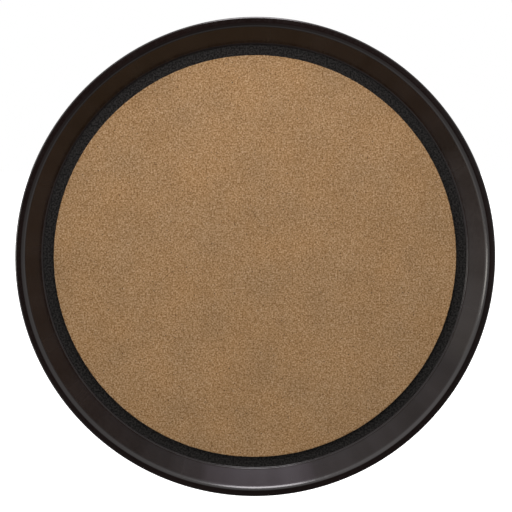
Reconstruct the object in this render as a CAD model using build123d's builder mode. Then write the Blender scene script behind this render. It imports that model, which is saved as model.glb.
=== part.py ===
"""Round framed cork bulletin board, 16 inches across, that hangs on a wall.

A moulded plastic rim ring holds a panel from behind. The panel is a cork sheet on a textured black underlay,
a soft fibreboard core and a hardboard back. Eight turn buttons clamp the panel into the rim, and two raised
keyhole brackets hang the board on two wall screws.

Frame: the wall is the plane Y = 0, the board's axis is the Y axis, the cork faces -Y and +Z is up.
Heights called t are measured from the wall towards the viewer, so that a point at height t has Y = -t.
"""

import math
import os

from build123d import *

# ---------------------------------------------------------------- driving dimensions, mm
BOARD_DIAMETER = 406.4  # 16 inches over the rim's outer edge

REAR_RECESS = 5.0  # from the wall to the hardboard back
BACKING_THICKNESS = 2.4
CORE_THICKNESS = 6.4
UNDERLAY_THICKNESS = 0.8
CORK_THICKNESS = 3.0
PANEL_CLEARANCE = 0.4  # radial play of the panel in its pocket
BACK_EDGE_CHAMFER = 0.4
CORK_RADIUS = 172.1
CORK_EDGE_ROUND = 0.3

POCKET_RADIUS = 185.0  # pocket that holds the panel
RIM_WALL_ANGLE = 49.2  # tilt of the sloping wall from the board's face, degrees
RIM_WALL_RISE = 16.7  # from the lip's face to the rim's crest
RIM_SKIN = 2.4  # wall thickness of the moulding
LIP_THICKNESS = 1.2  # lip that overlaps the panel
LIP_OVERLAP = 4.0  # how far the lip reaches over the pocket's edge
LIP_FLAT = 1.1  # lip's edge to the corner at the sloping wall's foot
RIM_EDGE_HEIGHT = 7.0  # outer edge of the rim, crest to underside
UNDERSIDE_SLOPE = 1.0  # the rim's underside drops by this much towards the skirt
SKIRT_INSET = 2.6  # the skirt stands inside the rim's outer edge
SKIRT_DRAFT = 0.8  # the skirt narrows by this much towards the wall
LIP_ROUND = 0.3
FOOT_FILLET = 0.8
CREST_ROUND = 5.5
EDGE_ROUND = 1.2
UNDERSIDE_ROUND = 1.2
REAR_ROUND = 0.4
INSIDE_ROUND = 0.6

RIB_COUNT = 16
RIB_THICKNESS = 1.6
RIB_SETBACK = 1.0  # ribs stay this far in front of the pocket wall's rear edge
PART_OVERLAP = 0.3  # ribs and bosses run this far into the walls they join

BUTTON_COUNT = 8
BUTTON_FIRST_ANGLE = 22.5
BUTTON_CIRCLE_RADIUS = 192.5
BUTTON_THICKNESS = 1.2
BUTTON_REACH = 15.5  # pivot to the centre of the rounded tip
BUTTON_TAIL_RADIUS = 4.6
BUTTON_TIP_RADIUS = 3.5
BUTTON_EDGE_CHAMFER = 0.25
BUTTON_GAP = 0.05  # running gap in front of the button
BUTTON_BOSS_RADIUS = 4.0

SCREW_THREAD_RADIUS = 1.5
SCREW_SHOULDER_RADIUS = 1.75
SCREW_HEAD_RADIUS = 3.1
SCREW_HEAD_HEIGHT = 1.8
SCREW_HEAD_GAP = 0.03
HEAD_EDGE_ROUND = 0.9
SCREW_TIP_CHAMFER = 0.8
SCREW_BOSS_DEPTH = 9.0  # threaded length in the boss
SCREW_TIP_SPACE = 1.5  # pilot hole past the screw's tip
PIVOT_CLEARANCE = 0.05
DRIVE_DEPTH = 1.1
DRIVE_LENGTH = 3.2
DRIVE_WIDTH = 0.8

PAD_COUNT = 4
PAD_FIRST_ANGLE = 45.0
PAD_CIRCLE_RADIUS = 191.0
PAD_RADIUS = 3.8
PAD_THICKNESS = 1.4
PAD_EDGE_ROUND = 0.4
PAD_POST_RADIUS = 5.0

HANGER_SPACING = 200.0  # between the two wall screws
HANGER_HEIGHT = 100.0  # bracket's middle above the board's centre
BRACKET_THICKNESS = 1.0
BRACKET_LENGTH = 26.0
BRACKET_WIDTH = 44.0
BRACKET_CHANNEL_WIDTH = 20.0
BRACKET_RAISE = 3.1  # room for the wall screw's head
BRACKET_BEND_RADIUS = 0.5
BRACKET_CORNER_RADIUS = 3.0
BRACKET_SCREW_OFFSET = 16.0
BRACKET_HOLE_RADIUS = 1.75
KEYHOLE_ENTRY_RADIUS = 4.6
KEYHOLE_SLOT_RADIUS = 2.3
KEYHOLE_ENTRY_DROP = 5.0  # entry hole's centre below the bracket's middle
KEYHOLE_SLOT_RISE = 6.0  # slot's top centre above the bracket's middle
BRACKET_SCREW_LENGTH = 7.0

# ---------------------------------------------------------------- worked-out sizes
BACKING_REAR = REAR_RECESS
BACKING_FRONT = BACKING_REAR + BACKING_THICKNESS
CORE_FRONT = BACKING_FRONT + CORE_THICKNESS
SEAT = CORE_FRONT + UNDERLAY_THICKNESS  # underlay's face, which the lip presses on
LIP_FACE = SEAT + LIP_THICKNESS
CREST = LIP_FACE + RIM_WALL_RISE

OUTER_RADIUS = BOARD_DIAMETER / 2
PANEL_RADIUS = POCKET_RADIUS - PANEL_CLEARANCE
LIP_RADIUS = POCKET_RADIUS - LIP_OVERLAP
POCKET_WALL_RADIUS = POCKET_RADIUS + RIM_SKIN
SLOPE = math.tan(math.radians(RIM_WALL_ANGLE))
WALL_FOOT_RADIUS = LIP_RADIUS + LIP_FLAT
WALL_HEAD_RADIUS = WALL_FOOT_RADIUS + RIM_WALL_RISE / SLOPE
SKIRT_TOP_RADIUS = OUTER_RADIUS - SKIRT_INSET
SKIRT_REAR_RADIUS = SKIRT_TOP_RADIUS - SKIRT_DRAFT
EDGE_UNDERSIDE = CREST - RIM_EDGE_HEIGHT
SKIRT_TOP = EDGE_UNDERSIDE - UNDERSIDE_SLOPE
INSIDE_STEP = EDGE_UNDERSIDE + UNDERSIDE_SLOPE
LAND_UNDERSIDE = CREST - RIM_SKIN

SECTION_PLANE = Plane(origin=(0, 0, 0), x_dir=(1, 0, 0), z_dir=(0, 0, -1))  # local x is radius, local y is t


def wall_back_height(radius):
    """Height t of the sloping wall's rear surface at a radius."""
    foot_radius = WALL_FOOT_RADIUS + RIM_SKIN * math.sin(math.radians(RIM_WALL_ANGLE))
    foot_height = LIP_FACE - RIM_SKIN * math.cos(math.radians(RIM_WALL_ANGLE))
    return foot_height + (radius - foot_radius) * SLOPE


def wall_back_radius(height):
    """Radius of the sloping wall's rear surface at a height t."""
    return POCKET_WALL_RADIUS + (height - wall_back_height(POCKET_WALL_RADIUS)) / SLOPE


def face_plane(height, angle=0.0, radius=0.0):
    """Plane facing the viewer at height t, its origin at a radius and an angle and its x along that radius."""
    c = math.cos(math.radians(angle))
    s = math.sin(math.radians(angle))
    return Plane(origin=(radius * c, -height, radius * s), x_dir=(c, 0, s), z_dir=(0, -1, 0))


def plane_at(x, z, height):
    """Plane parallel to the board at height t, facing the viewer, with its origin at x, z."""
    return Plane(origin=(x, -height, z), x_dir=(1, 0, 0), z_dir=(0, -1, 0))


def spread(count, first_angle):
    """Evenly spaced angles round the board, in degrees."""
    return [first_angle + i * 360 / count for i in range(count)]


def save(piece, name):
    """Labels a finished piece and writes it as its own STEP file."""
    piece.part.label = name
    export_step(piece.part, f"parts/{name}.step")


BUTTON_ANGLES = spread(BUTTON_COUNT, BUTTON_FIRST_ANGLE)
PAD_ANGLES = spread(PAD_COUNT, PAD_FIRST_ANGLE)
HANGER_CENTRES = {"left": (-HANGER_SPACING / 2, HANGER_HEIGHT), "right": (HANGER_SPACING / 2, HANGER_HEIGHT)}
BRACKET_SCREW_CENTRES = [
    (x + offset, z)
    for x, z in HANGER_CENTRES.values()
    for offset in (-BRACKET_SCREW_OFFSET, BRACKET_SCREW_OFFSET)
]
os.makedirs("parts", exist_ok=True)

# ---------------------------------------------------------------- rim frame
# Section corners as (radius, t), each with its fillet radius, from the lip outwards and round the back.
RIM_SECTION = [
    ((LIP_RADIUS, SEAT), 0.0),
    ((LIP_RADIUS, LIP_FACE), LIP_ROUND),
    ((WALL_FOOT_RADIUS, LIP_FACE), FOOT_FILLET),
    ((WALL_HEAD_RADIUS, CREST), CREST_ROUND),
    ((OUTER_RADIUS, CREST), EDGE_ROUND),
    ((OUTER_RADIUS, EDGE_UNDERSIDE), UNDERSIDE_ROUND),
    ((SKIRT_TOP_RADIUS, SKIRT_TOP), UNDERSIDE_ROUND),
    ((SKIRT_REAR_RADIUS, 0), REAR_ROUND),
    ((SKIRT_REAR_RADIUS - RIM_SKIN, 0), REAR_ROUND),
    ((SKIRT_TOP_RADIUS - RIM_SKIN, SKIRT_TOP), INSIDE_ROUND),
    ((OUTER_RADIUS - RIM_SKIN, INSIDE_STEP), INSIDE_ROUND),
    ((OUTER_RADIUS - RIM_SKIN, LAND_UNDERSIDE), INSIDE_ROUND),
    ((wall_back_radius(LAND_UNDERSIDE), LAND_UNDERSIDE), INSIDE_ROUND),
    ((POCKET_WALL_RADIUS, wall_back_height(POCKET_WALL_RADIUS)), 0.0),
    ((POCKET_WALL_RADIUS, BACKING_REAR), REAR_ROUND),
    ((POCKET_RADIUS, BACKING_REAR), REAR_ROUND),
    ((POCKET_RADIUS, SEAT), 0.0),
]

# The hollow behind the sloping wall, grown a little into the walls, which ribs, bosses and posts are cut to.
HOLLOW_SECTION = [
    (POCKET_WALL_RADIUS - PART_OVERLAP, 0),
    (POCKET_WALL_RADIUS - PART_OVERLAP, wall_back_height(POCKET_WALL_RADIUS) + PART_OVERLAP),
    (wall_back_radius(LAND_UNDERSIDE), LAND_UNDERSIDE + PART_OVERLAP),
    (OUTER_RADIUS - RIM_SKIN + PART_OVERLAP, LAND_UNDERSIDE + PART_OVERLAP),
    (OUTER_RADIUS - RIM_SKIN + PART_OVERLAP, INSIDE_STEP),
    (SKIRT_TOP_RADIUS - RIM_SKIN + PART_OVERLAP, SKIRT_TOP),
    (SKIRT_REAR_RADIUS - RIM_SKIN + PART_OVERLAP, 0),
]

RIB_START = BACKING_REAR + RIB_SETBACK
RIB_MIDDLE_RADIUS = (OUTER_RADIUS + POCKET_RADIUS) / 2

with BuildPart() as stiffening:
    for rib_angle in spread(RIB_COUNT, 0.0):
        with BuildSketch(face_plane(RIB_START, rib_angle, RIB_MIDDLE_RADIUS)):
            Rectangle(OUTER_RADIUS - POCKET_RADIUS, RIB_THICKNESS)
        extrude(amount=CREST - BACKING_REAR)
    for boss_angle in BUTTON_ANGLES:
        with BuildSketch(face_plane(BACKING_REAR, boss_angle, BUTTON_CIRCLE_RADIUS)):
            Circle(BUTTON_BOSS_RADIUS)
        extrude(amount=CREST - BACKING_REAR)
    for post_angle in PAD_ANGLES:
        with BuildSketch(face_plane(PAD_THICKNESS, post_angle, PAD_CIRCLE_RADIUS)):
            Circle(PAD_POST_RADIUS)
        extrude(amount=CREST - PAD_THICKNESS)
    with BuildSketch(SECTION_PLANE):
        with BuildLine():
            Polyline(*HOLLOW_SECTION, close=True)
        make_face()
    revolve(axis=Axis.Y, mode=Mode.INTERSECT)

with BuildPart() as rim_frame:
    with BuildSketch(SECTION_PLANE):
        with BuildLine():
            FilletPolyline(*[p for p, _ in RIM_SECTION], radius=[r for _, r in RIM_SECTION], close=True)
        make_face()
    revolve(axis=Axis.Y)
    add(stiffening.part)
    for boss_angle in BUTTON_ANGLES:
        with BuildSketch(face_plane(BACKING_REAR, boss_angle, BUTTON_CIRCLE_RADIUS)):
            Circle(SCREW_THREAD_RADIUS)
        extrude(amount=SCREW_BOSS_DEPTH + SCREW_TIP_SPACE, mode=Mode.SUBTRACT)
save(rim_frame, "rim_frame")

# ---------------------------------------------------------------- panel, from the face to the back
with BuildPart() as cork_sheet:
    with BuildSketch(face_plane(SEAT)):
        Circle(CORK_RADIUS)
    extrude(amount=CORK_THICKNESS)
    fillet(cork_sheet.faces().sort_by(Axis.Y)[0].edges(), radius=CORK_EDGE_ROUND)
save(cork_sheet, "cork_sheet")

with BuildPart() as black_underlay:
    with BuildSketch(face_plane(CORE_FRONT)):
        Circle(PANEL_RADIUS)
    extrude(amount=UNDERLAY_THICKNESS)
save(black_underlay, "black_underlay")

with BuildPart() as fibreboard_core:
    with BuildSketch(face_plane(BACKING_FRONT)):
        Circle(PANEL_RADIUS)
    extrude(amount=CORE_THICKNESS)
    for x, z in BRACKET_SCREW_CENTRES:
        with BuildSketch(plane_at(x, z, BACKING_FRONT)):
            Circle(SCREW_THREAD_RADIUS)
        extrude(amount=BRACKET_SCREW_LENGTH - BACKING_THICKNESS, mode=Mode.SUBTRACT)
save(fibreboard_core, "fibreboard_core")

with BuildPart() as hardboard_back:
    with BuildSketch(face_plane(BACKING_REAR)):
        Circle(PANEL_RADIUS)
        for x, z in BRACKET_SCREW_CENTRES:
            with Locations((x, z)):
                Circle(SCREW_THREAD_RADIUS, mode=Mode.SUBTRACT)
    extrude(amount=BACKING_THICKNESS)
    chamfer(hardboard_back.faces().sort_by(Axis.Y)[-1].outer_wire().edges(), length=BACK_EDGE_CHAMFER)
save(hardboard_back, "hardboard_back")

# ---------------------------------------------------------------- turn buttons and their screws
BUTTON_FRONT = BACKING_REAR - BUTTON_GAP
BUTTON_REAR = BUTTON_FRONT - BUTTON_THICKNESS
HEAD_FRONT = BUTTON_REAR - SCREW_HEAD_GAP
HEAD_REAR = HEAD_FRONT - SCREW_HEAD_HEIGHT

for number, angle in enumerate(BUTTON_ANGLES, start=1):
    with BuildPart() as turn_button:
        with BuildSketch(face_plane(BUTTON_REAR, angle, BUTTON_CIRCLE_RADIUS)):
            Circle(BUTTON_TAIL_RADIUS)
            with Locations((-BUTTON_REACH, 0)):
                Circle(BUTTON_TIP_RADIUS)
            make_hull()
            Circle(SCREW_SHOULDER_RADIUS + PIVOT_CLEARANCE, mode=Mode.SUBTRACT)
        extrude(amount=BUTTON_THICKNESS)
        chamfer(turn_button.faces().sort_by(Axis.Y)[-1].outer_wire().edges(), length=BUTTON_EDGE_CHAMFER)
    save(turn_button, f"turn_button_{number}")

with BuildPart() as button_screws:
    for angle in BUTTON_ANGLES:
        with BuildSketch(face_plane(HEAD_REAR, angle, BUTTON_CIRCLE_RADIUS)):
            Circle(SCREW_HEAD_RADIUS)
        extrude(amount=SCREW_HEAD_HEIGHT)
        with BuildSketch(face_plane(HEAD_FRONT, angle, BUTTON_CIRCLE_RADIUS)):
            Circle(SCREW_SHOULDER_RADIUS)
        extrude(amount=BACKING_REAR - HEAD_FRONT)
        with BuildSketch(face_plane(BACKING_REAR, angle, BUTTON_CIRCLE_RADIUS)):
            Circle(SCREW_THREAD_RADIUS)
        extrude(amount=SCREW_BOSS_DEPTH)
    fillet(button_screws.edges().group_by(Axis.Y)[-1], radius=HEAD_EDGE_ROUND)
    chamfer(button_screws.edges().group_by(Axis.Y)[0], length=SCREW_TIP_CHAMFER)
    for angle in BUTTON_ANGLES:
        with BuildSketch(face_plane(HEAD_REAR, angle, BUTTON_CIRCLE_RADIUS)):
            Rectangle(DRIVE_LENGTH, DRIVE_WIDTH)
            Rectangle(DRIVE_WIDTH, DRIVE_LENGTH)
        extrude(amount=DRIVE_DEPTH, mode=Mode.SUBTRACT)
save(button_screws, "button_screws")

# ---------------------------------------------------------------- rubber grip pads
for number, angle in enumerate(PAD_ANGLES, start=1):
    with BuildPart() as grip_pad:
        with BuildSketch(face_plane(0, angle, PAD_CIRCLE_RADIUS)):
            Circle(PAD_RADIUS)
        extrude(amount=PAD_THICKNESS)
        fillet(grip_pad.faces().sort_by(Axis.Y)[-1].edges(), radius=PAD_EDGE_ROUND)
    save(grip_pad, f"grip_pad_{number}")

# ---------------------------------------------------------------- keyhole brackets
FOOT_REAR = BACKING_REAR - BRACKET_THICKNESS
CHANNEL_INSIDE = BACKING_REAR - BRACKET_RAISE
CHANNEL_REAR = CHANNEL_INSIDE - BRACKET_THICKNESS
HALF_FOOT = BRACKET_WIDTH / 2
HALF_CHANNEL = BRACKET_CHANNEL_WIDTH / 2
INNER_BEND = BRACKET_BEND_RADIUS
OUTER_BEND = BRACKET_BEND_RADIUS + BRACKET_THICKNESS

# Hat section as (x, t) from the middle of the bracket, each corner with its bend radius.
RIGHT_HALF_HAT = [
    ((HALF_CHANNEL, CHANNEL_REAR), OUTER_BEND),
    ((HALF_CHANNEL, FOOT_REAR), INNER_BEND),
    ((HALF_FOOT, FOOT_REAR), 0.0),
    ((HALF_FOOT, BACKING_REAR), 0.0),
    ((HALF_CHANNEL - BRACKET_THICKNESS, BACKING_REAR), OUTER_BEND),
    ((HALF_CHANNEL - BRACKET_THICKNESS, CHANNEL_INSIDE), INNER_BEND),
]
LEFT_HALF_HAT = [((-x, t), r) for (x, t), r in reversed(RIGHT_HALF_HAT)]
HAT_SECTION = RIGHT_HALF_HAT + LEFT_HALF_HAT

for side, (hanger_x, hanger_z) in HANGER_CENTRES.items():
    bracket_foot = (hanger_x, 0, hanger_z - BRACKET_LENGTH / 2)
    bracket_plane = Plane(origin=bracket_foot, x_dir=(1, 0, 0), z_dir=(0, 0, 1))
    with BuildPart() as keyhole_bracket:
        with BuildSketch(bracket_plane):
            with BuildLine():
                FilletPolyline(
                    *[(x, -t) for (x, t), _ in HAT_SECTION], radius=[r for _, r in HAT_SECTION], close=True
                )
            make_face()
        extrude(amount=BRACKET_LENGTH)
        with BuildSketch(plane_at(hanger_x, hanger_z, 0)):
            with Locations((0, -KEYHOLE_ENTRY_DROP)):
                Circle(KEYHOLE_ENTRY_RADIUS)
            with Locations((0, KEYHOLE_SLOT_RISE)):
                Circle(KEYHOLE_SLOT_RADIUS)
            with Locations((0, (KEYHOLE_SLOT_RISE - KEYHOLE_ENTRY_DROP) / 2)):
                Rectangle(2 * KEYHOLE_SLOT_RADIUS, KEYHOLE_SLOT_RISE + KEYHOLE_ENTRY_DROP)
        extrude(amount=CHANNEL_INSIDE + PART_OVERLAP, mode=Mode.SUBTRACT)
        with BuildSketch(plane_at(hanger_x, hanger_z, 0)):
            with Locations((-BRACKET_SCREW_OFFSET, 0), (BRACKET_SCREW_OFFSET, 0)):
                Circle(BRACKET_HOLE_RADIUS)
        extrude(amount=BACKING_REAR, mode=Mode.SUBTRACT)
        fillet(keyhole_bracket.edges().filter_by(Axis.Y).group_by(Axis.X)[0], radius=BRACKET_CORNER_RADIUS)
        fillet(keyhole_bracket.edges().filter_by(Axis.Y).group_by(Axis.X)[-1], radius=BRACKET_CORNER_RADIUS)
    save(keyhole_bracket, f"keyhole_bracket_{side}")

with BuildPart() as bracket_screws:
    for x, z in BRACKET_SCREW_CENTRES:
        with BuildSketch(plane_at(x, z, FOOT_REAR - SCREW_HEAD_HEIGHT)):
            Circle(SCREW_HEAD_RADIUS)
        extrude(amount=SCREW_HEAD_HEIGHT)
        with BuildSketch(plane_at(x, z, FOOT_REAR)):
            Circle(SCREW_THREAD_RADIUS)
        extrude(amount=BRACKET_THICKNESS + BRACKET_SCREW_LENGTH)
    fillet(bracket_screws.edges().group_by(Axis.Y)[-1], radius=HEAD_EDGE_ROUND)
    chamfer(bracket_screws.edges().group_by(Axis.Y)[0], length=SCREW_TIP_CHAMFER)
    for x, z in BRACKET_SCREW_CENTRES:
        with BuildSketch(plane_at(x, z, FOOT_REAR - SCREW_HEAD_HEIGHT)):
            Rectangle(DRIVE_LENGTH, DRIVE_WIDTH)
            Rectangle(DRIVE_WIDTH, DRIVE_LENGTH)
        extrude(amount=DRIVE_DEPTH, mode=Mode.SUBTRACT)
save(bracket_screws, "bracket_screws")
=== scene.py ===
import math
import random

import bmesh
import bpy
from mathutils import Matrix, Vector, noise


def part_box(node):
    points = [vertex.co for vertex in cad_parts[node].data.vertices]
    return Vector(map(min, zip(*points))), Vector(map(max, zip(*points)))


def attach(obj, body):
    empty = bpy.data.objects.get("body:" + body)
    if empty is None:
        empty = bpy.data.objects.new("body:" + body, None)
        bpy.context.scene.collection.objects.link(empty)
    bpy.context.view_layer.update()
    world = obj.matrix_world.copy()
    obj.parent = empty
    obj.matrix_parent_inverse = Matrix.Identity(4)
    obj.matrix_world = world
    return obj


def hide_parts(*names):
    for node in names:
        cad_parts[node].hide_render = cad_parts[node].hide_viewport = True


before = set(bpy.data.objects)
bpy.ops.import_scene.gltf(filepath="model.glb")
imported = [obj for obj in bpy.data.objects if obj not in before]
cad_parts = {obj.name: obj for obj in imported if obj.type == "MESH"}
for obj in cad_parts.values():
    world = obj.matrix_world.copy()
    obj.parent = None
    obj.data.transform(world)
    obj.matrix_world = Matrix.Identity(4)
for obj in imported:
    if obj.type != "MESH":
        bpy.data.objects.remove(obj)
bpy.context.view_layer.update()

# Looks of a round framed cork bulletin board. It hangs on the wall plane Y = 0 and faces -Y, with +Z up.
# Sizes are in millimetres and become metres when a mesh is made. A radius is measured from the board's axis,
# and a height from the wall towards the viewer.
MM = 0.001
SHARP_ANGLE = math.radians(35)
ARC_STEP = math.radians(8)

# ---------------------------------------------------------------- sizes, from the frame and the design
def face_heights(node):
    """Heights of a CAD node's front and rear faces."""
    low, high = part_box(node)
    return -low.y / MM, -high.y / MM


CREST = face_heights("rim_frame")[0]
CORK_FACE = face_heights("cork_sheet")[0]
SEAT = face_heights("black_underlay")[0]
REAR_RECESS = face_heights("hardboard_back")[1]

OUTER_RADIUS = 203.2
CORK_RADIUS = 172.1
PANEL_RADIUS = 184.6
UNDERLAY_THICKNESS = 0.8

POCKET_RADIUS = 185.0
RIM_SKIN = 2.4
LIP_THICKNESS = 1.2
LIP_FACE = SEAT + LIP_THICKNESS
LIP_RADIUS = 181.0
WALL_FOOT_RADIUS = 182.1
WALL_ANGLE = math.radians(49.2)
WALL_HOLLOW = math.radians(1.8)  # how much steeper the wall is at its head than at its foot
CREST_ROUND = 5.5
FOOT_FILLET = 0.8
LIP_ROUND = 0.6
WALL_HEAD_RADIUS = WALL_FOOT_RADIUS + (CREST - LIP_FACE) / math.tan(WALL_ANGLE)
EDGE_DEPTH = 7.0
EDGE_UNDERSIDE = CREST - EDGE_DEPTH
EDGE_HOLLOW_FLOOR = EDGE_UNDERSIDE + 1.0
EDGE_ROUND = 1.2
SKIRT_TOP = EDGE_UNDERSIDE - 1.0
SKIRT_TOP_RADIUS = 200.6
SKIRT_REAR_RADIUS = 199.8
INNER_ROUND = 0.6
REAR_ROUND = 0.4
POCKET_WALL_RADIUS = POCKET_RADIUS + RIM_SKIN
LAND_UNDERSIDE = CREST - RIM_SKIN
BACK_FOOT_RADIUS = WALL_FOOT_RADIUS + RIM_SKIN * math.sin(WALL_ANGLE)
BACK_FOOT_HEIGHT = LIP_FACE - RIM_SKIN * math.cos(WALL_ANGLE)

RIB_ANGLES = [math.radians(22.5 * i) for i in range(16)]
RIB_THICKNESS = 1.6
RIB_START = REAR_RECESS + 1.0
BOSS_ANGLES = [math.radians(22.5 + 45 * i) for i in range(8)]
BOSS_CIRCLE_RADIUS = 192.5
BOSS_RADIUS = 4.0
PILOT_RADIUS = 1.5
PILOT_DEPTH = 10.5
POST_ANGLES = [math.radians(45 + 90 * i) for i in range(4)]
POST_CIRCLE_RADIUS = 191.0
POST_RADIUS = 5.0
POST_START = 1.4
OVERLAP = 0.3  # how far ribs, bosses and posts run into the walls they join

# ---------------------------------------------------------------- fine relief of the Blender pieces
RIM_SEGMENTS = 360
WALL_SHARES = (0.12, 0.24, 0.36, 0.48, 0.6, 0.72, 0.82)  # places along the wall that bend it hollow
CORK_RINGS = 200
CORK_LOOSENESS = 0.3  # how far a cork vertex strays, as a share of the spacing
CORK_FACE_INSET = 0.6  # between the last ring of the face and the CAD edge
CORK_EDGE_INSET = 0.3  # between the middle of the crumbly edge and the CAD edge
CORK_CRUMBLE = 0.176
# (inset, height) of the rings of the cork's cut edge, from its face down
CORK_EDGE = ((0.1, CORK_FACE - 0.16), (0.0, CORK_FACE - 0.45), (0.0, LIP_FACE), (0.0, SEAT))
UNDERLAY_SEGMENTS = 1260
UNDERLAY_STEP = 0.85
UNDERLAY_HIDDEN = 1.6  # how far the pebbled part runs in under the cork


# ---------------------------------------------------------------- mesh helpers
def rounded(corners):
    """Outline points of a closed polygon of ((radius, height), fillet) corners, with fillets as arcs."""
    points = []
    for i, (corner, fillet) in enumerate(corners):
        here = Vector(corner)
        before = (Vector(corners[i - 1][0]) - here).normalized()
        after = (Vector(corners[(i + 1) % len(corners)][0]) - here).normalized()
        if fillet == 0:
            points.append(here)
            continue
        half = before.angle(after) / 2
        centre = here + (before + after).normalized() * (fillet / math.sin(half))
        start = here + before * (fillet / math.tan(half)) - centre
        end = here + after * (fillet / math.tan(half)) - centre
        turn = start.angle_signed(end)
        steps = max(2, math.ceil(abs(turn) / ARC_STEP))
        for k in range(steps + 1):
            angle = -turn * k / steps
            c, s = math.cos(angle), math.sin(angle)
            points.append(centre + Vector((start.x * c - start.y * s, start.x * s + start.y * c)))
    return points


def place(radius, angle, height):
    """A point of the board in metres, from a radius and height in millimetres and an angle in radians."""
    return (radius * math.cos(angle) * MM, -height * MM, radius * math.sin(angle) * MM)


def new_object(name, vertices, faces, material=None):
    """A mesh object in the row frame, smooth shaded between sharp edges, with its faces turned outwards."""
    mesh = bpy.data.meshes.new(name)
    mesh.from_pydata(vertices, [], faces)
    shape = bmesh.new()
    shape.from_mesh(mesh)
    bmesh.ops.recalc_face_normals(shape, faces=shape.faces)
    shape.to_mesh(mesh)
    shape.free()
    mesh.shade_smooth()
    mesh.set_sharp_from_angle(angle=SHARP_ANGLE)
    made = bpy.data.objects.new(name, mesh)
    bpy.context.scene.collection.objects.link(made)
    if material:
        mesh.materials.append(material)
    return made


def lathe(outline, segments):
    """Vertices and faces of a closed outline turned once round the board's axis."""
    count = len(outline)
    vertices = []
    faces = []
    for i in range(segments):
        angle = 2 * math.pi * i / segments
        vertices += [place(radius, angle, height) for radius, height in outline]
        this, following = i * count, (i + 1) % segments * count
        for k in range(count):
            after = (k + 1) % count
            faces.append((this + k, this + after, following + after, following + k))
    return vertices, faces


# ---------------------------------------------------------------- material helper
class Nodes:
    """A node tree with short calls for the nodes used here. A socket given as a value is linked."""

    def __init__(self, tree):
        self.tree = tree
        self.position = None

    def fill(self, node, values):
        for key, value in values.items():
            if isinstance(value, bpy.types.NodeSocket):
                self.tree.links.new(value, node.inputs[key])
            else:
                node.inputs[key].default_value = value

    def node(self, kind, values=None, **settings):
        made = self.tree.nodes.new("ShaderNode" + kind)
        for key, value in settings.items():
            setattr(made, key, value)
        self.fill(made, values or {})
        return made

    def math(self, operation, a, b=0.0):
        return self.node("Math", {0: a, 1: b}, operation=operation).outputs[0]

    def plus(self, a, b):
        return self.math("ADD", a, b)

    def times(self, a, b):
        return self.math("MULTIPLY", a, b)

    def vector_math(self, operation, a, b):
        return self.node("VectorMath", {0: a, 1: b}, operation=operation).outputs[0]

    def shifted(self, vector, offset):
        """A place moved sideways, so that its texture doesn't follow another texture."""
        return self.vector_math("ADD", vector, offset)

    def ramp(self, value, stops):
        """Colour ramp through (position, (r, g, b)) stops."""
        made = self.node("ValToRGB", {0: value})
        elements = made.color_ramp.elements
        while len(elements) < len(stops):
            elements.new(1.0)
        for element, (position, colour) in zip(elements, stops):
            element.position = position
            element.color = (*colour, 1.0)
        return made.outputs[0]

    def remap(self, value, low, high, to_low=0.0, to_high=1.0):
        values = {0: value, 1: low, 2: high, 3: to_low, 4: to_high}
        return self.node("MapRange", values, clamp=True).outputs[0]

    def mix(self, factor, a, b, blend="MIX"):
        made = self.node("Mix", {0: factor, 6: a, 7: b}, data_type="RGBA", blend_type=blend)
        return made.outputs[2]

    def noise(self, scale, detail=3.0, roughness=0.5, distortion=0.0, vector=None, output="Fac"):
        values = {"Scale": scale, "Detail": detail, "Roughness": roughness, "Distortion": distortion,
                  "Vector": vector or self.position}
        return self.node("TexNoise", values).outputs[output]

    def flat_noise(self, scale, detail, vector):
        values = {"Scale": scale, "Detail": detail, "Vector": vector}
        return self.node("TexNoise", values, noise_dimensions="2D").outputs[0]

    def voronoi(self, scale, vector, output="Distance"):
        return self.node("TexVoronoi", {"Scale": scale, "Vector": vector}).outputs[output]

    def dots(self, scale, vector):
        """1 in small dots round scattered points, and 0 between them."""
        return self.remap(self.voronoi(scale, vector), 0.18, 0.3, 1.0, 0.0)

    def bump(self, height, distance, strength):
        return self.node("Bump", {"Height": height, "Distance": distance, "Strength": strength}).outputs[0]

    def split(self, vector):
        return self.node("SeparateXYZ", {0: vector}).outputs

    def length(self, a, b):
        """Length of the sum of two crossing legs."""
        return self.math("SQRT", self.plus(self.math("POWER", a, 2.0), self.math("POWER", b, 2.0)))


class Shader(Nodes):
    """One material round a Principled surface, textured in the board's own coordinates."""

    def __init__(self, name):
        self.material = bpy.data.materials.new(name)
        self.material.use_nodes = True
        super().__init__(self.material.node_tree)
        self.surface = self.tree.nodes["Principled BSDF"]
        self.position = self.node("TexCoord").outputs["Object"]

    def flat(self):
        """The place on the board's face, as a vector of x and z."""
        x, _, z = self.split(self.position)
        return self.node("CombineXYZ", {0: x, 1: z}).outputs[0]

    def radius(self):
        """Distance from the board's axis, in metres."""
        x, _, z = self.split(self.position)
        return self.length(x, z)

    def finish(self, **values):
        self.fill(self.surface, {key.replace("_", " "): value for key, value in values.items()})
        return self.material


def grey(value):
    return (value, value, value)


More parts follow.
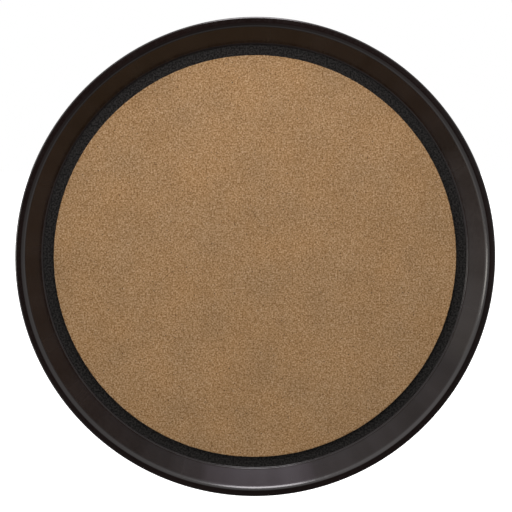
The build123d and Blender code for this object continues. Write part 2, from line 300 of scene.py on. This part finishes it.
# ---------------------------------------------------------------- materials
# Texture scales are in cells per metre, so a scale of 1000 makes details of about a millimetre.
def cork_material():
    """Pressed cork granules in many tans, with painted shade in the hollows and a painted highlight on the
    raised crumbs, sparse dark bark specks and pale flecks.
    """
    s = Shader("pressed_cork")
    flat = s.flat()
    wander = s.noise(1300.0, detail=2.0, vector=flat, output="Color")
    nudged = s.vector_math("ADD", flat, s.vector_math("MULTIPLY", wander, (0.0005, 0.0005, 0.0)))
    granule = s.voronoi(950.0, nudged, output="Color")
    tone = s.node("SeparateColor", {0: granule}).outputs[0]
    tans = [(0.0, (0.226, 0.125, 0.049)), (0.5, (0.274, 0.16, 0.07)), (1.0, (0.324, 0.2, 0.1))]
    body = s.ramp(tone, tans)

    crumb = s.flat_noise(750.0, 0.5, flat)
    # Painted shade and highlight: this tint follows the bump's height, darker and warmer in the hollows and
    # paler and bluer on the raised crumbs.
    crumb_shade_and_highlight = s.ramp(crumb, [(0.2, (0.65, 0.55, 0.39)), (0.5, grey(1.0)), (0.8, (1.3, 1.43, 1.68))])
    cloud = s.noise(36.0, detail=2.0)
    cloud_tint = s.ramp(cloud, [(0.3, (0.952, 0.957, 0.963)), (0.7, (1.073, 1.069, 1.065))])
    warmth = s.noise(21.0, detail=1.0, vector=nudged)
    warmth_tint = s.ramp(warmth, [(0.3, (1.015, 0.995, 0.96)), (0.7, (0.985, 1.005, 1.04))])
    for tint in (crumb_shade_and_highlight, cloud_tint, warmth_tint):
        body = s.mix(1.0, body, tint, blend="MULTIPLY")

    here_and_there = s.remap(s.noise(520.0, detail=1.0), 0.58, 0.63)
    speck = s.times(s.dots(520.0, s.shifted(nudged, (3.1, 1.7, 0.4))), here_and_there)
    body = s.mix(s.times(speck, 0.95), body, (0.055, 0.028, 0.014, 1.0))
    elsewhere = s.remap(s.noise(560.0, detail=1.0, vector=s.shifted(s.position, (2.0, 0.0, 0.0))), 0.55, 0.6)
    pale = s.times(s.dots(600.0, s.shifted(nudged, (7.3, 2.9, 5.1))), elsewhere)
    body = s.mix(s.times(pale, 0.55), body, (0.46, 0.33, 0.2, 1.0))

    fine = s.noise(2400.0, detail=2.0, roughness=0.6)
    height = s.plus(crumb, s.times(fine, 0.3))
    return s.finish(Base_Color=body, Roughness=s.remap(crumb, 0.3, 0.7, 0.92, 0.8), Specular_IOR_Level=0.3,
                    Normal=s.bump(height, 0.0001, 0.7))


def underlay_material():
    """Black vinyl with a fine pebbled leather grain, with painted shade between the pebbles and a painted
    highlight on their tops.
    """
    s = Shader("black_pebbled_vinyl")
    pebble = s.flat_noise(700.0, 0.5, s.flat())
    fine = s.noise(2600.0, detail=2.0)
    height = s.plus(pebble, s.times(fine, 0.2))
    # Painted shade and highlight: the colour follows the pebbles' height, much darker between them and paler
    # on their tops.
    colour = s.ramp(pebble, [(0.3, (0.0032, 0.0028, 0.0025)), (0.72, (0.0158, 0.0141, 0.013))])
    return s.finish(Base_Color=colour, Roughness=s.remap(fine, 0.3, 0.7, 0.6, 0.78),
                    Specular_IOR_Level=s.remap(pebble, 0.35, 0.65, 0.1, 0.23),
                    Normal=s.bump(height, 0.0002, 0.8))


# Radii between which the rim's finish changes, in metres
WALL_HAZE_START = (0.1805, 0.183)
WALL_HAZE_END = (0.1935, 0.1955)
SKIRT_GLOSS_START = (0.1986, 0.1992)
# Depths under the rim's wall and its crest between which the hollow's matt finish, with its painted light,
# starts, in metres
UNDER_WALL = (0.001, 0.0013)
UNDER_CREST = (0.0013, 0.0016)


def rim_material():
    """Dark espresso plastic: glossy outside, hazier on the inner wall, and matt and grained in the hollow."""
    s = Shader("espresso_gloss_plastic")
    radius = s.radius()
    x, y, z = s.split(s.position)
    across, up = (s.math("DIVIDE", way, radius) for way in (x, z))
    around = s.node("CombineXYZ", {0: across, 2: up}).outputs[0]
    streak = s.noise(9.0, detail=3.0, roughness=0.55, vector=around)
    ripple = s.noise(14.0, detail=2.0)
    peel = s.noise(380.0, detail=2.0)
    dust = s.remap(s.noise(2300.0, detail=2.0), 0.68, 0.76)
    grain = s.noise(1500.0, detail=3.0)

    on_wall = s.times(s.remap(radius, *WALL_HAZE_START), s.remap(radius, *WALL_HAZE_END, 1.0, 0.0))
    out_from_foot = s.times(s.math("SUBTRACT", radius, WALL_FOOT_RADIUS * MM), math.sin(WALL_ANGLE))
    up_from_foot = s.times(s.plus(y, LIP_FACE * MM), -math.cos(WALL_ANGLE))
    hollow = s.remap(s.math("SUBTRACT", out_from_foot, up_from_foot), *UNDER_WALL)
    hollow = s.times(hollow, s.remap(s.plus(y, CREST * MM), *UNDER_CREST))
    hollow = s.times(hollow, s.remap(radius, *SKIRT_GLOSS_START, 1.0, 0.0))

    colour = s.ramp(ripple, [(0.35, (0.0052, 0.0019, 0.0014)), (0.65, (0.0072, 0.0029, 0.0022))])
    colour = s.mix(s.times(dust, 0.1), colour, (0.04, 0.036, 0.032, 1.0))
    # The hollow's paler colour is partly its own matt finish and partly painted light that lifts the shade
    # deep in the hollow.
    matt = s.ramp(grain, [(0.3, (0.03, 0.0258, 0.0236)), (0.7, (0.052, 0.0456, 0.042))])
    colour = s.mix(hollow, colour, matt)
    haze = s.plus(s.times(on_wall, s.remap(streak, 0.3, 0.7, 0.0, 0.15)), s.times(hollow, 0.4))
    coat = s.times(s.remap(on_wall, 0.0, 1.0, 1.0, 0.78), s.remap(hollow, 0.0, 1.0, 1.0, 0.1))
    coat_height = s.plus(streak, s.times(peel, 0.03))
    return s.finish(Base_Color=colour, Roughness=s.remap(ripple, 0.3, 0.7, 0.42, 0.5),
                    Specular_IOR_Level=haze, Specular_Tint=(0.92, 0.9, 1.0, 1.0),
                    Normal=s.bump(s.times(grain, hollow), 0.0001, 0.5),
                    Coat_Weight=coat, Coat_Roughness=s.remap(peel, 0.3, 0.7, 0.13, 0.19), Coat_IOR=1.6,
                    Coat_Normal=s.bump(coat_height, 0.00015, 0.5))


def fibreboard_material():
    """Soft pressed wood fibre."""
    s = Shader("soft_fibreboard")
    fibre = s.noise(700.0, detail=5.0, roughness=0.7, distortion=1.5)
    colour = s.ramp(fibre, [(0.3, (0.27, 0.19, 0.11)), (0.7, (0.44, 0.34, 0.22))])
    return s.finish(Base_Color=colour, Roughness=0.95, Normal=s.bump(fibre, 0.0003, 0.7))


SCREEN_PITCH = 0.0014  # of the mesh that is pressed into the hardboard, in metres


def hardboard_material():
    """Brown hardboard, screen side out: a pressed mesh over felted fibres, dark shives and pale flecks."""
    s = Shader("brown_hardboard")
    cloud = s.noise(14.0, detail=4.0)
    fibre = s.noise(650.0, detail=6.0, roughness=0.75, distortion=2.5)
    shive = s.remap(s.noise(170.0, detail=3.0, distortion=3.5), 0.6, 0.66)
    elsewhere = s.shifted(s.position, (4.0, 0.0, 1.0))
    pale = s.remap(s.noise(260.0, detail=3.0, distortion=3.0, vector=elsewhere), 0.6, 0.68)
    x, _, z = s.split(s.position)
    across, along = (s.math("SINE", s.times(way, 2 * math.pi / SCREEN_PITCH)) for way in (x, z))
    screen = s.times(across, along)
    colour = s.ramp(cloud, [(0.3, (0.158, 0.083, 0.04)), (0.7, (0.2, 0.108, 0.053))])
    colour = s.mix(0.6, colour, s.ramp(fibre, [(0.3, grey(0.32)), (0.7, grey(0.66))]), blend="OVERLAY")
    colour = s.mix(s.remap(screen, -1.0, 1.0, 0.0, 0.2), colour, (0.085, 0.042, 0.02, 1.0))
    colour = s.mix(s.times(shive, 0.6), colour, (0.065, 0.031, 0.015, 1.0))
    colour = s.mix(s.times(pale, 0.45), colour, (0.33, 0.2, 0.115, 1.0))
    height = s.plus(s.times(screen, -0.5), fibre)
    return s.finish(Base_Color=colour, Roughness=s.remap(cloud, 0.3, 0.7, 0.5, 0.62),
                    Normal=s.bump(height, 0.0001, 0.6))


def steel_material(name, tint, roughness):
    """Zinc-plated steel with a cloudy finish, fine scratches and tiny pits."""
    s = Shader(name)
    cloud = s.noise(220.0, detail=3.0)
    stretched = s.vector_math("MULTIPLY", s.position, (9000.0, 700.0, 700.0))
    scratch = s.noise(1.0, detail=2.0, vector=stretched)
    pit = s.remap(s.noise(2500.0, detail=2.0), 0.68, 0.74)
    colour = s.mix(s.remap(cloud, 0.35, 0.65), (*[c * 0.86 for c in tint], 1.0), (*tint, 1.0))
    colour = s.mix(s.times(pit, 0.35), colour, (0.2, 0.19, 0.18, 1.0))
    return s.finish(Base_Color=colour, Metallic=1.0, Normal=s.bump(scratch, 0.00002, 0.35),
                    Roughness=s.remap(cloud, 0.3, 0.7, roughness, roughness + 0.12))


def rubber_material():
    """Grey-black rubber with a dull bloom."""
    s = Shader("grip_rubber")
    bloom = s.noise(500.0, detail=4.0)
    colour = s.ramp(bloom, [(0.3, grey(0.018)), (0.7, grey(0.034))])
    return s.finish(Base_Color=colour, Roughness=s.remap(bloom, 0.3, 0.7, 0.7, 0.85),
                    Normal=s.bump(bloom, 0.0001, 0.4))


# ---------------------------------------------------------------- pieces
def stand_for(node, piece):
    """Lets a piece take a CAD node's place on the board, and hides the node."""
    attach(piece, "board")
    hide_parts(node)


def hollow_top(radius):
    """Height of the hollow behind the sloping wall at a radius, taken a little into the skin over it."""
    wall_back = BACK_FOOT_HEIGHT + (radius - BACK_FOOT_RADIUS) * math.tan(WALL_ANGLE)
    return min(wall_back, LAND_UNDERSIDE) + OVERLAP


def back_head_radius():
    """Radius at which the sloping wall's rear surface meets the underside of the land."""
    return BACK_FOOT_RADIUS + (LAND_UNDERSIDE - BACK_FOOT_HEIGHT) / math.tan(WALL_ANGLE)


def rib_shells():
    """Vertices and faces of the ribs, one closed plate each, cut to the hollow."""
    skirt_slope = (SKIRT_TOP_RADIUS - SKIRT_REAR_RADIUS) / SKIRT_TOP
    inner, outer = POCKET_WALL_RADIUS - OVERLAP, OUTER_RADIUS - RIM_SKIN + OVERLAP
    skirt = SKIRT_REAR_RADIUS - RIM_SKIN + OVERLAP
    outline = [
        (inner, RIB_START),
        (inner, hollow_top(inner)),
        (back_head_radius(), LAND_UNDERSIDE + OVERLAP),
        (outer, LAND_UNDERSIDE + OVERLAP),
        (outer, EDGE_HOLLOW_FLOOR),
        (skirt + SKIRT_TOP * skirt_slope, SKIRT_TOP),
        (skirt + RIB_START * skirt_slope, RIB_START),
    ]
    count = len(outline)
    vertices, faces = [], []
    for angle in RIB_ANGLES:
        first = len(vertices)
        c, s = math.cos(angle), math.sin(angle)
        for side in (-RIB_THICKNESS / 2, RIB_THICKNESS / 2):
            vertices += [((r * c - side * s) * MM, -h * MM, (r * s + side * c) * MM) for r, h in outline]
        faces.append([first + k for k in range(count)])
        faces.append([first + count + k for k in reversed(range(count))])
        for k in range(count):
            after = (k + 1) % count
            faces.append([first + after, first + k, first + count + k, first + count + after])
    return vertices, faces


def column_shells(angles, circle_radius, radius, start, top, segments=32):
    """Vertices and faces of round columns, one at each angle, from a start up to top(radius)."""
    inner = POCKET_WALL_RADIUS - OVERLAP
    vertices, faces = [], []
    for angle in angles:
        c, s = math.cos(angle), math.sin(angle)
        first = len(vertices)
        for at_top in (False, True):
            for k in range(segments):
                turn = 2 * math.pi * k / segments
                along, across = circle_radius + radius * math.cos(turn), radius * math.sin(turn)
                from_axis = math.hypot(along, across)
                if from_axis < inner:
                    along, across = along * inner / from_axis, across * inner / from_axis
                    from_axis = inner
                height = top(from_axis) if at_top else start
                x, z = along * c - across * s, along * s + across * c
                vertices.append((x * MM, -height * MM, z * MM))
        vertices.append(place(circle_radius, angle, top(circle_radius)))
        faces.append([first + k for k in range(segments)])
        for k in range(segments):
            after = (k + 1) % segments
            faces.append([first + k, first + after, first + segments + after, first + segments + k])
            faces.append([first + segments + k, first + segments + after, first + 2 * segments])
    return vertices, faces


def merge(target, part, operation):
    """Unites a piece's mesh with another closed mesh, or cuts it by that one, and removes the other."""
    modifier = target.modifiers.new("merge", "BOOLEAN")
    modifier.operation = operation
    modifier.solver = "EXACT"
    modifier.object = part
    merged = bpy.data.meshes.new_from_object(target.evaluated_get(bpy.context.evaluated_depsgraph_get()))
    target.modifiers.clear()
    target.data = merged
    bpy.data.objects.remove(part)


def make_rim(material):
    """The moulded rim: its section turned round the axis, with ribs, bosses and posts in its hollow."""
    pocket_top = hollow_top(POCKET_WALL_RADIUS) - OVERLAP
    foot, head = Vector((WALL_FOOT_RADIUS, LIP_FACE)), Vector((WALL_HEAD_RADIUS, CREST))
    inward = Vector((math.sin(WALL_ANGLE), -math.cos(WALL_ANGLE)))
    wall_points = []
    for share in WALL_SHARES:
        sag = (head - foot).length * WALL_HOLLOW * share * (1 - share) / 2
        wall_points.append(((foot + (head - foot) * share + inward * sag), 0.0))
    section = [
        ((LIP_RADIUS, SEAT), 0.0),
        ((LIP_RADIUS, LIP_FACE), LIP_ROUND),
        ((WALL_FOOT_RADIUS, LIP_FACE), FOOT_FILLET),
        *wall_points,
        ((WALL_HEAD_RADIUS, CREST), CREST_ROUND),
        ((OUTER_RADIUS, CREST), EDGE_ROUND),
        ((OUTER_RADIUS, EDGE_UNDERSIDE), EDGE_ROUND),
        ((SKIRT_TOP_RADIUS, SKIRT_TOP), EDGE_ROUND),
        ((SKIRT_REAR_RADIUS, 0.0), REAR_ROUND),
        ((SKIRT_REAR_RADIUS - RIM_SKIN, 0.0), REAR_ROUND),
        ((SKIRT_TOP_RADIUS - RIM_SKIN, SKIRT_TOP), INNER_ROUND),
        ((OUTER_RADIUS - RIM_SKIN, EDGE_HOLLOW_FLOOR), INNER_ROUND),
        ((OUTER_RADIUS - RIM_SKIN, LAND_UNDERSIDE), INNER_ROUND),
        ((back_head_radius(), LAND_UNDERSIDE), INNER_ROUND),
        ((POCKET_WALL_RADIUS, pocket_top), 0.0),
        ((POCKET_WALL_RADIUS, REAR_RECESS), REAR_ROUND),
        ((POCKET_RADIUS, REAR_RECESS), REAR_ROUND),
        ((POCKET_RADIUS, SEAT), 0.0),
    ]
    rim = new_object("rim_frame_look", *lathe(rounded(section), RIM_SEGMENTS), material)
    bosses = column_shells(BOSS_ANGLES, BOSS_CIRCLE_RADIUS, BOSS_RADIUS, REAR_RECESS, hollow_top)
    posts = column_shells(POST_ANGLES, POST_CIRCLE_RADIUS, POST_RADIUS, POST_START, hollow_top, 40)
    pilots = column_shells(BOSS_ANGLES, BOSS_CIRCLE_RADIUS, PILOT_RADIUS, REAR_RECESS - 1.0,
                           lambda radius: REAR_RECESS + PILOT_DEPTH, 24)
    merge(rim, new_object("ribs", *rib_shells()), "UNION")
    merge(rim, new_object("bosses", *bosses), "UNION")
    merge(rim, new_object("posts", *posts), "UNION")
    merge(rim, new_object("pilots", *pilots), "DIFFERENCE")
    rim.data.shade_smooth()
    rim.data.set_sharp_from_angle(angle=SHARP_ANGLE)
    evener = rim.modifiers.new("even_normals", "WEIGHTED_NORMAL")
    evener.keep_sharp = True
    stand_for("rim_frame", rim)


def disc_face(rings, radius_and_angle, height_at):
    """Vertices, faces and last ring's first vertex of a round face of triangles. Ring k holds 6k points."""
    vertices = [place(0.0, 0.0, height_at(0.0, 0.0))]
    starts = [0]
    for ring in range(1, rings + 1):
        starts.append(len(vertices))
        for i in range(6 * ring):
            radius, angle = radius_and_angle(ring, i)
            vertices.append(place(radius, angle, height_at(radius, angle)))
    faces = []
    for ring in range(rings):
        inner, outer = max(1, 6 * ring), 6 * (ring + 1)
        for sector in range(6):
            for i in range(ring + 1):
                a = starts[ring] + (sector * ring + i) % inner
                b = starts[ring + 1] + (sector * (ring + 1) + i) % outer
                c = starts[ring + 1] + (sector * (ring + 1) + i + 1) % outer
                faces.append((a, b, c))
                if i < ring:
                    faces.append((a, c, starts[ring] + (sector * ring + i + 1) % inner))
    return vertices, faces, starts[rings]


def make_cork(material):
    """The cork disc: its face is lumpy and pitted like pressed granules, and its cut edge is crumbly."""
    draw = random.Random(11)
    spacing = (CORK_RADIUS - CORK_FACE_INSET) / CORK_RINGS

    def radius_and_angle(ring, i):
        loose = CORK_LOOSENESS if ring < CORK_RINGS else 0.0
        radius = spacing * (ring + draw.uniform(-loose, loose))
        return radius, 2 * math.pi * (i + draw.uniform(-loose, loose)) / (6 * ring)

    def height_at(radius, angle):
        here = Vector((radius * math.cos(angle), radius * math.sin(angle), 0.0))
        lump = noise.noise(here / 1.2)
        grain = noise.noise(here / 0.9 + Vector((31.0, 7.0, 3.0)))
        pit = max(0.0, noise.noise(here / 1.3 + Vector((5.0, 53.0, 9.0))) - 0.38)
        return CORK_FACE - max(0.0, 0.05 - 0.03 * lump - 0.03 * grain + 0.3 * pit)

    vertices, faces, last = disc_face(CORK_RINGS, radius_and_angle, height_at)
    count = 6 * CORK_RINGS
    for inset, height in CORK_EDGE:
        first = len(vertices)
        for i in range(count):
            angle = 2 * math.pi * i / count
            here = Vector((math.cos(angle), math.sin(angle), 0.0)) * CORK_RADIUS
            crumble = CORK_CRUMBLE * noise.noise(Vector((here.x, here.y, height * 0.7)) / 1.9)
            vertices.append(place(CORK_RADIUS - inset - CORK_EDGE_INSET + crumble, angle, height))
        for i in range(count):
            after = (i + 1) % count
            faces.append((last + i, first + i, first + after, last + after))
        last = first
    faces.append([last + i for i in range(count)])
    stand_for("cork_sheet", new_object("cork_sheet_look", vertices, faces, material))


def make_underlay(material):
    """The black underlay: pebbled where it shows round the cork, and flat under the cork and the lip."""
    inner, outer = CORK_RADIUS - UNDERLAY_HIDDEN, LIP_RADIUS - 0.3
    pebbled = [inner + UNDERLAY_STEP * k for k in range(int((outer - inner) / UNDERLAY_STEP) + 1)]
    radii = [*pebbled, LIP_RADIUS, PANEL_RADIUS, PANEL_RADIUS]
    segments = UNDERLAY_SEGMENTS
    vertices, faces = [], []
    for ring, radius in enumerate(radii):
        stagger = 0.5 * (min(ring, len(radii) - 2) % 2)
        for i in range(segments):
            angle = 2 * math.pi * (i + stagger) / segments
            dip = 0.0
            if ring < len(pebbled):
                here = Vector((radius * math.cos(angle), radius * math.sin(angle), 0.0))
                dip = max(0.0, 0.07 - 0.17 * noise.noise(here / 1.5) - 0.04 * noise.noise(here / 4.0))
            elif ring == len(radii) - 1:
                dip = UNDERLAY_THICKNESS
            vertices.append(place(radius, angle, SEAT - dip))
    for ring in range(len(radii) - 1):
        this, following = ring * segments, (ring + 1) * segments
        for i in range(segments):
            after = (i + 1) % segments
            faces.append((this + i, following + i, following + after, this + after))
    faces.append([i for i in range(segments)])
    faces.append([(len(radii) - 1) * segments + i for i in range(segments)])
    stand_for("black_underlay", new_object("black_underlay_look", vertices, faces, material))


def assign(material, *nodes):
    """Gives CAD nodes a material in place of the plain one."""
    for name in nodes:
        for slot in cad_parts[name].material_slots:
            slot.material = material


# ---------------------------------------------------------------- studio
CAMERA_DISTANCE = 1.5
CAMERA_LEFT = 0.056
CAMERA_UP = 0.105
AIM = (-0.0004, 0.0024)  # the point of the crest's plane that the camera looks at, x and z
OUTER_RADIUS_SHARE = 241.25 / 512  # the rim's outer radius as a share of the picture's width
SENSOR_WIDTH = 36.0
FLOOR_LEVEL = -2.4  # low enough for a camera that looks up at the board
FLOOR_REACH = 116.0
BEHIND_GLOW = 0.85


def make_camera():
    """Camera in front of the board, a little left of and above its axis, aimed near its centre."""
    data = bpy.data.cameras.new("camera")
    camera = bpy.data.objects.new("camera", data)
    bpy.context.scene.collection.objects.link(camera)
    aim = Vector((AIM[0], -CREST * MM, AIM[1]))
    camera.location = Vector((-CAMERA_LEFT, -CREST * MM - CAMERA_DISTANCE, CAMERA_UP))
    camera.rotation_mode = "QUATERNION"
    camera.rotation_quaternion = (aim - camera.location).to_track_quat("-Z", "Y")
    data.sensor_width = SENSOR_WIDTH
    data.lens = OUTER_RADIUS_SHARE * SENSOR_WIDTH * CAMERA_DISTANCE / (OUTER_RADIUS * MM)
    bpy.context.scene.camera = camera


def softbox(name, location, size, radiance, colour):
    """A rectangular softbox that faces the board, with its face's radiance in scene units."""
    data = bpy.data.lights.new(name, "AREA")
    data.shape = "RECTANGLE"
    data.size, data.size_y = size
    data.energy = radiance * math.pi * size[0] * size[1]
    data.color = colour
    light = bpy.data.objects.new(name, data)
    bpy.context.scene.collection.objects.link(light)
    light.location = location
    light.visible_camera = False
    light.rotation_mode = "QUATERNION"
    light.rotation_quaternion = (-light.location).to_track_quat("-Z", "Y")


def make_world():
    """Light from all round: pale behind the board, brightest above left in front, dark round the camera."""
    world = bpy.data.worlds.new("studio")
    bpy.context.scene.world = world
    world.use_nodes = True
    w = Nodes(world.node_tree)
    x, y, z = w.split(w.node("TexCoord").outputs["Generated"])
    side = w.length(x, z)
    up = w.math("DIVIDE", z, side)
    rightward = w.math("DIVIDE", x, side)
    up_left = w.math("SUBTRACT", w.times(up, 0.85), w.times(rightward, 0.5))
    glow = w.plus(w.times(up_left, 0.58), 0.64)
    right = w.times(w.remap(x, -0.02, 0.12), w.remap(up, -0.75, 0.0))
    right = w.times(right, w.remap(up, 0.1, 0.7, 0.29, 0.0))
    low = w.times(w.remap(y, -0.55, -0.35), w.remap(up, -0.2, 0.4, 0.32, 0.0))
    glow = w.plus(glow, w.plus(right, low))
    off_axis = w.length(w.plus(x, 0.02), z)
    away = w.times(w.remap(off_axis, 0.115, 0.375), w.remap(y, -0.3, -0.06, 1.0, 0.5))
    front = w.plus(w.times(glow, away), 0.03)
    behind = w.remap(y, 0.0, 0.3)
    back = w.remap(z, -0.8, 0.8, 0.55 * BEHIND_GLOW, 1.15 * BEHIND_GLOW)
    around = w.node("Mix", {0: behind, 2: front, 3: back}).outputs[0]
    seen = w.node("LightPath").outputs["Is Camera Ray"]
    strength = w.node("Mix", {0: seen, 2: around, 3: 1.0}).outputs[0]
    w.fill(w.tree.nodes["Background"], {"Color": (1.0, 1.0, 1.0, 1.0), "Strength": strength})


def make_floor():
    """Plain pale floor, far below the hanging board."""
    s = Shader("pale_floor")
    mottle = s.noise(3.0)
    material = s.finish(Base_Color=s.ramp(mottle, [(0.0, grey(0.86)), (1.0, grey(0.9))]), Roughness=0.9,
                        Emission_Color=(1.0, 1.0, 1.0, 1.0), Emission_Strength=0.85)
    signs = ((-1, -1), (1, -1), (1, 1), (-1, 1))
    corners = [(x * FLOOR_REACH, y * FLOOR_REACH, FLOOR_LEVEL) for x, y in signs]
    floor = new_object("floor", corners, [(0, 1, 2, 3)], material)
    floor.visible_diffuse = False
    floor.visible_glossy = False


def make_studio():
    bpy.context.scene.view_settings.view_transform = "Standard"
    make_camera()
    make_world()
    make_floor()
    softbox("top_softbox", (0.012, -0.37, 0.545), (0.205, 0.45), 9.3, (1.0, 0.955, 0.985))
    softbox("overhead_softbox", (0.03, -0.11, 1.2), (0.64, 0.45), 0.78, (0.98, 0.8, 1.0))
    softbox("left_softbox", (-0.81, -0.565, -0.01), (0.53, 0.2), 4.55, (1.0, 0.95, 0.87))
    softbox("side_softbox", (-1.15, -0.12, -0.12), (0.45, 1.3), 0.62, (1.0, 0.92, 0.84))


make_studio()
make_rim(rim_material())
make_cork(cork_material())
make_underlay(underlay_material())
assign(fibreboard_material(), "fibreboard_core")
assign(hardboard_material(), "hardboard_back")
assign(steel_material("bright_zinc", (0.62, 0.62, 0.6), 0.24), "button_screws", "bracket_screws")
assign(steel_material("zinc_plate", (0.55, 0.55, 0.53), 0.3), *[f"turn_button_{i}" for i in range(1, 9)])
assign(steel_material("bracket_zinc", (0.5, 0.51, 0.52), 0.32),
       "keyhole_bracket_left", "keyhole_bracket_right")
assign(rubber_material(), *[f"grip_pad_{i}" for i in range(1, 5)])
